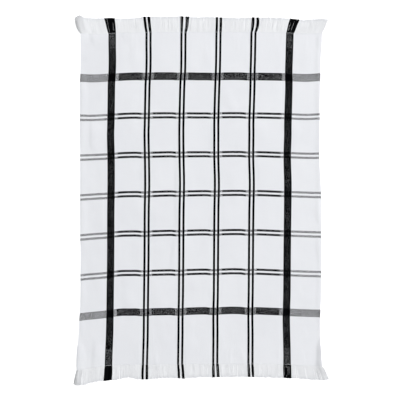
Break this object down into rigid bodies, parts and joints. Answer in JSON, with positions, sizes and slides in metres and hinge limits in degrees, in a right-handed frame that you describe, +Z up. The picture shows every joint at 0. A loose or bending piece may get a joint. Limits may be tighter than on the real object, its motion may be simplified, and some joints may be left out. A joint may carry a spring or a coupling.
{
  "type": "tea towel",
  "caption": "Rectangular woven cotton tea towel, white with a black windowpane check, with a loose yarn fringe at both ends, lying flat with slightly curled corners.",
  "frame": {"origin": "middle of the outline of cloth and fringes, on the underside", "axes": "+X across the towel to the right, +Y along it towards its top end, +Z up out of its face"},
  "size_m": [0.494, 0.7109, 0.0093],
  "materials": {
    "woven_cotton": "matt white cotton with woven black stripes",
    "fringe_yarn": "loose matt cotton yarn, black where a lengthwise stripe runs out"
  },
  "bodies": {
    "root": {"cloth": "woven_cotton", "fringe_top": "fringe_yarn", "fringe_bottom": "fringe_yarn"}
  },
  "joints": []
}
